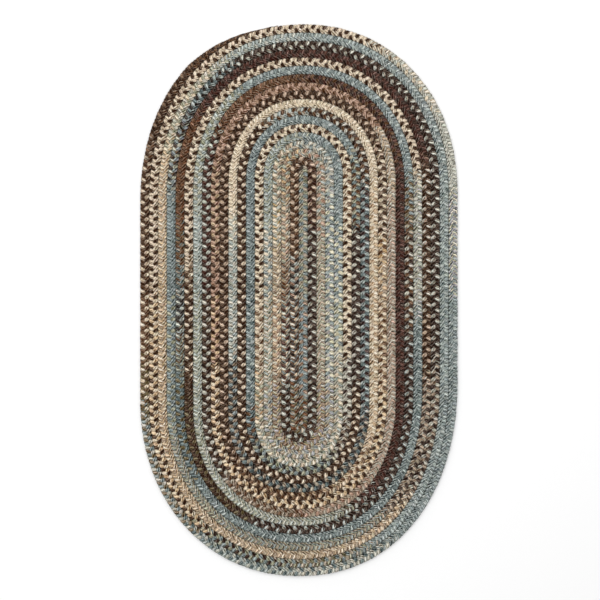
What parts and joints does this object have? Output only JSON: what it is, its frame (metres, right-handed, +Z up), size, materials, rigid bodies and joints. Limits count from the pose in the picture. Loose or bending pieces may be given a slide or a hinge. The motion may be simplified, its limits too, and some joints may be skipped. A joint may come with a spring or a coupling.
{
  "type": "oval braided rug",
  "caption": "Flat oval rug of one long three-strand yarn braid, coiled clockwise round a straight core and laced edge to edge, with a tapered tail end.",
  "frame": {"origin": "centre of the rug's bounding box, on the floor that its underside lies on", "axes": "+Y along the rug's length, towards the end where the braid's tail is; +X across its width; +Z up, out of the face shown"},
  "size_m": [0.6858, 1.193, 0.01],
  "materials": {
    "braided_yarn": "matt plied yarn in many heathered colours, from cream, sand and light blue to slate, rust and dark brown, plaited in three strands"
  },
  "bodies": {
    "root": {"rug": "braided_yarn"}
  },
  "joints": []
}
